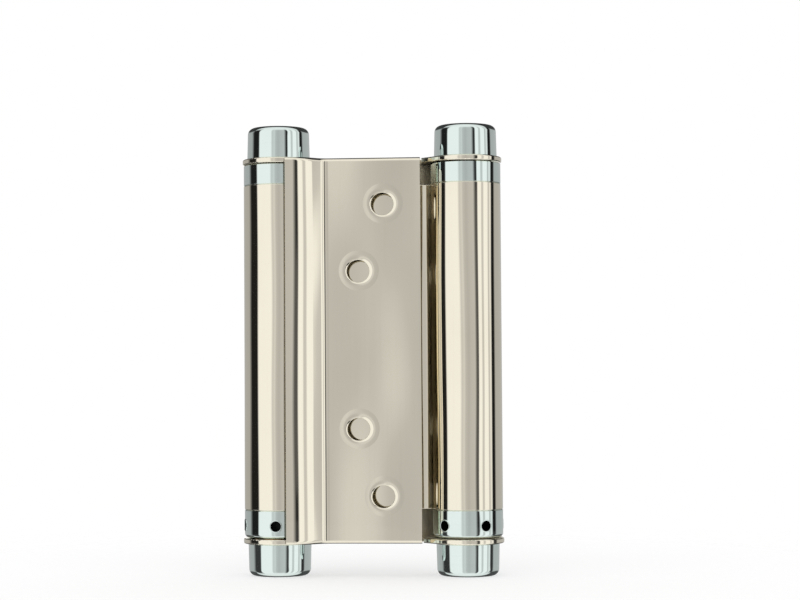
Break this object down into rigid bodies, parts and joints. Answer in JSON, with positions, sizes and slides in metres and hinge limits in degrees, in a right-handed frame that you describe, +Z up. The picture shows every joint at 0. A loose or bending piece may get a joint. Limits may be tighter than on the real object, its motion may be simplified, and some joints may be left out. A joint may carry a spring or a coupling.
{
  "type": "double action spring hinge",
  "caption": "Double action spring hinge: a rolled web with sprung barrels, eared leaves with countersunk holes, turned collars and end caps.",
  "frame": {"origin": "centre of the closed hinge, in the middle plane of the web, halfway between the two barrel axes and halfway up the leaves", "axes": "+Z up along the barrel axes, +X from the left barrel to the right one, +Y through the web from the front leaf to the rear leaf"},
  "size_m": [0.1018, 0.0318, 0.1752],
  "materials": {
    "polished_nickel": "mirror-polished nickel plate on steel",
    "polished_chrome": "bright chrome plate on steel",
    "spring_steel": "oil-blackened spring wire",
    "bright_steel": "turned bright steel",
    "oiled_bronze": "oiled bronze"
  },
  "bodies": {
    "web": {"web_barrels": "polished_nickel", "left_spring_holder": "polished_chrome", "left_spring": "spring_steel", "left_top_thrust_washer": "oiled_bronze", "right_spring_holder": "polished_chrome", "right_spring": "spring_steel", "right_top_thrust_washer": "oiled_bronze"},
    "front_leaf_body": {"front_leaf": "polished_nickel", "left_spindle": "bright_steel", "left_top_retaining_washer": "bright_steel", "left_bottom_retaining_washer": "bright_steel", "left_top_cap": "polished_chrome", "left_bottom_cap": "polished_chrome"},
    "rear_leaf_body": {"rear_leaf": "polished_nickel", "right_spindle": "bright_steel", "right_top_retaining_washer": "bright_steel", "right_bottom_retaining_washer": "bright_steel", "right_top_cap": "polished_chrome", "right_bottom_cap": "polished_chrome"},
    "left_collar_body": {"left_adjusting_collar": "polished_chrome", "left_bottom_thrust_washer": "oiled_bronze"},
    "right_collar_body": {"right_adjusting_collar": "polished_chrome", "right_bottom_thrust_washer": "oiled_bronze"}
  },
  "joints": [
    {"name": "left_leaf_swing", "type": "hinge", "parent": "web", "child": "front_leaf_body", "pos_m": [-0.0368, 0, 0], "axis": [0, 0, -1], "range_deg": [0, 180], "stiffness_Nm_per_rad": 0.8, "deforming": ["left_spring"]},
    {"name": "left_collar_adjust", "type": "hinge", "parent": "front_leaf_body", "child": "left_collar_body", "pos_m": [-0.0368, 0, -0.06785], "axis": [0, 0, -1], "range_deg": [0, 216], "deforming": ["left_spring"]},
    {"name": "right_leaf_swing", "type": "hinge", "parent": "web", "child": "rear_leaf_body", "pos_m": [0.0368, 0, 0], "axis": [0, 0, -1], "range_deg": [0, 180], "stiffness_Nm_per_rad": 0.8, "deforming": ["right_spring"]},
    {"name": "right_collar_adjust", "type": "hinge", "parent": "rear_leaf_body", "child": "right_collar_body", "pos_m": [0.0368, 0, -0.06785], "axis": [0, 0, -1], "range_deg": [0, 216], "deforming": ["right_spring"]}
  ]
}
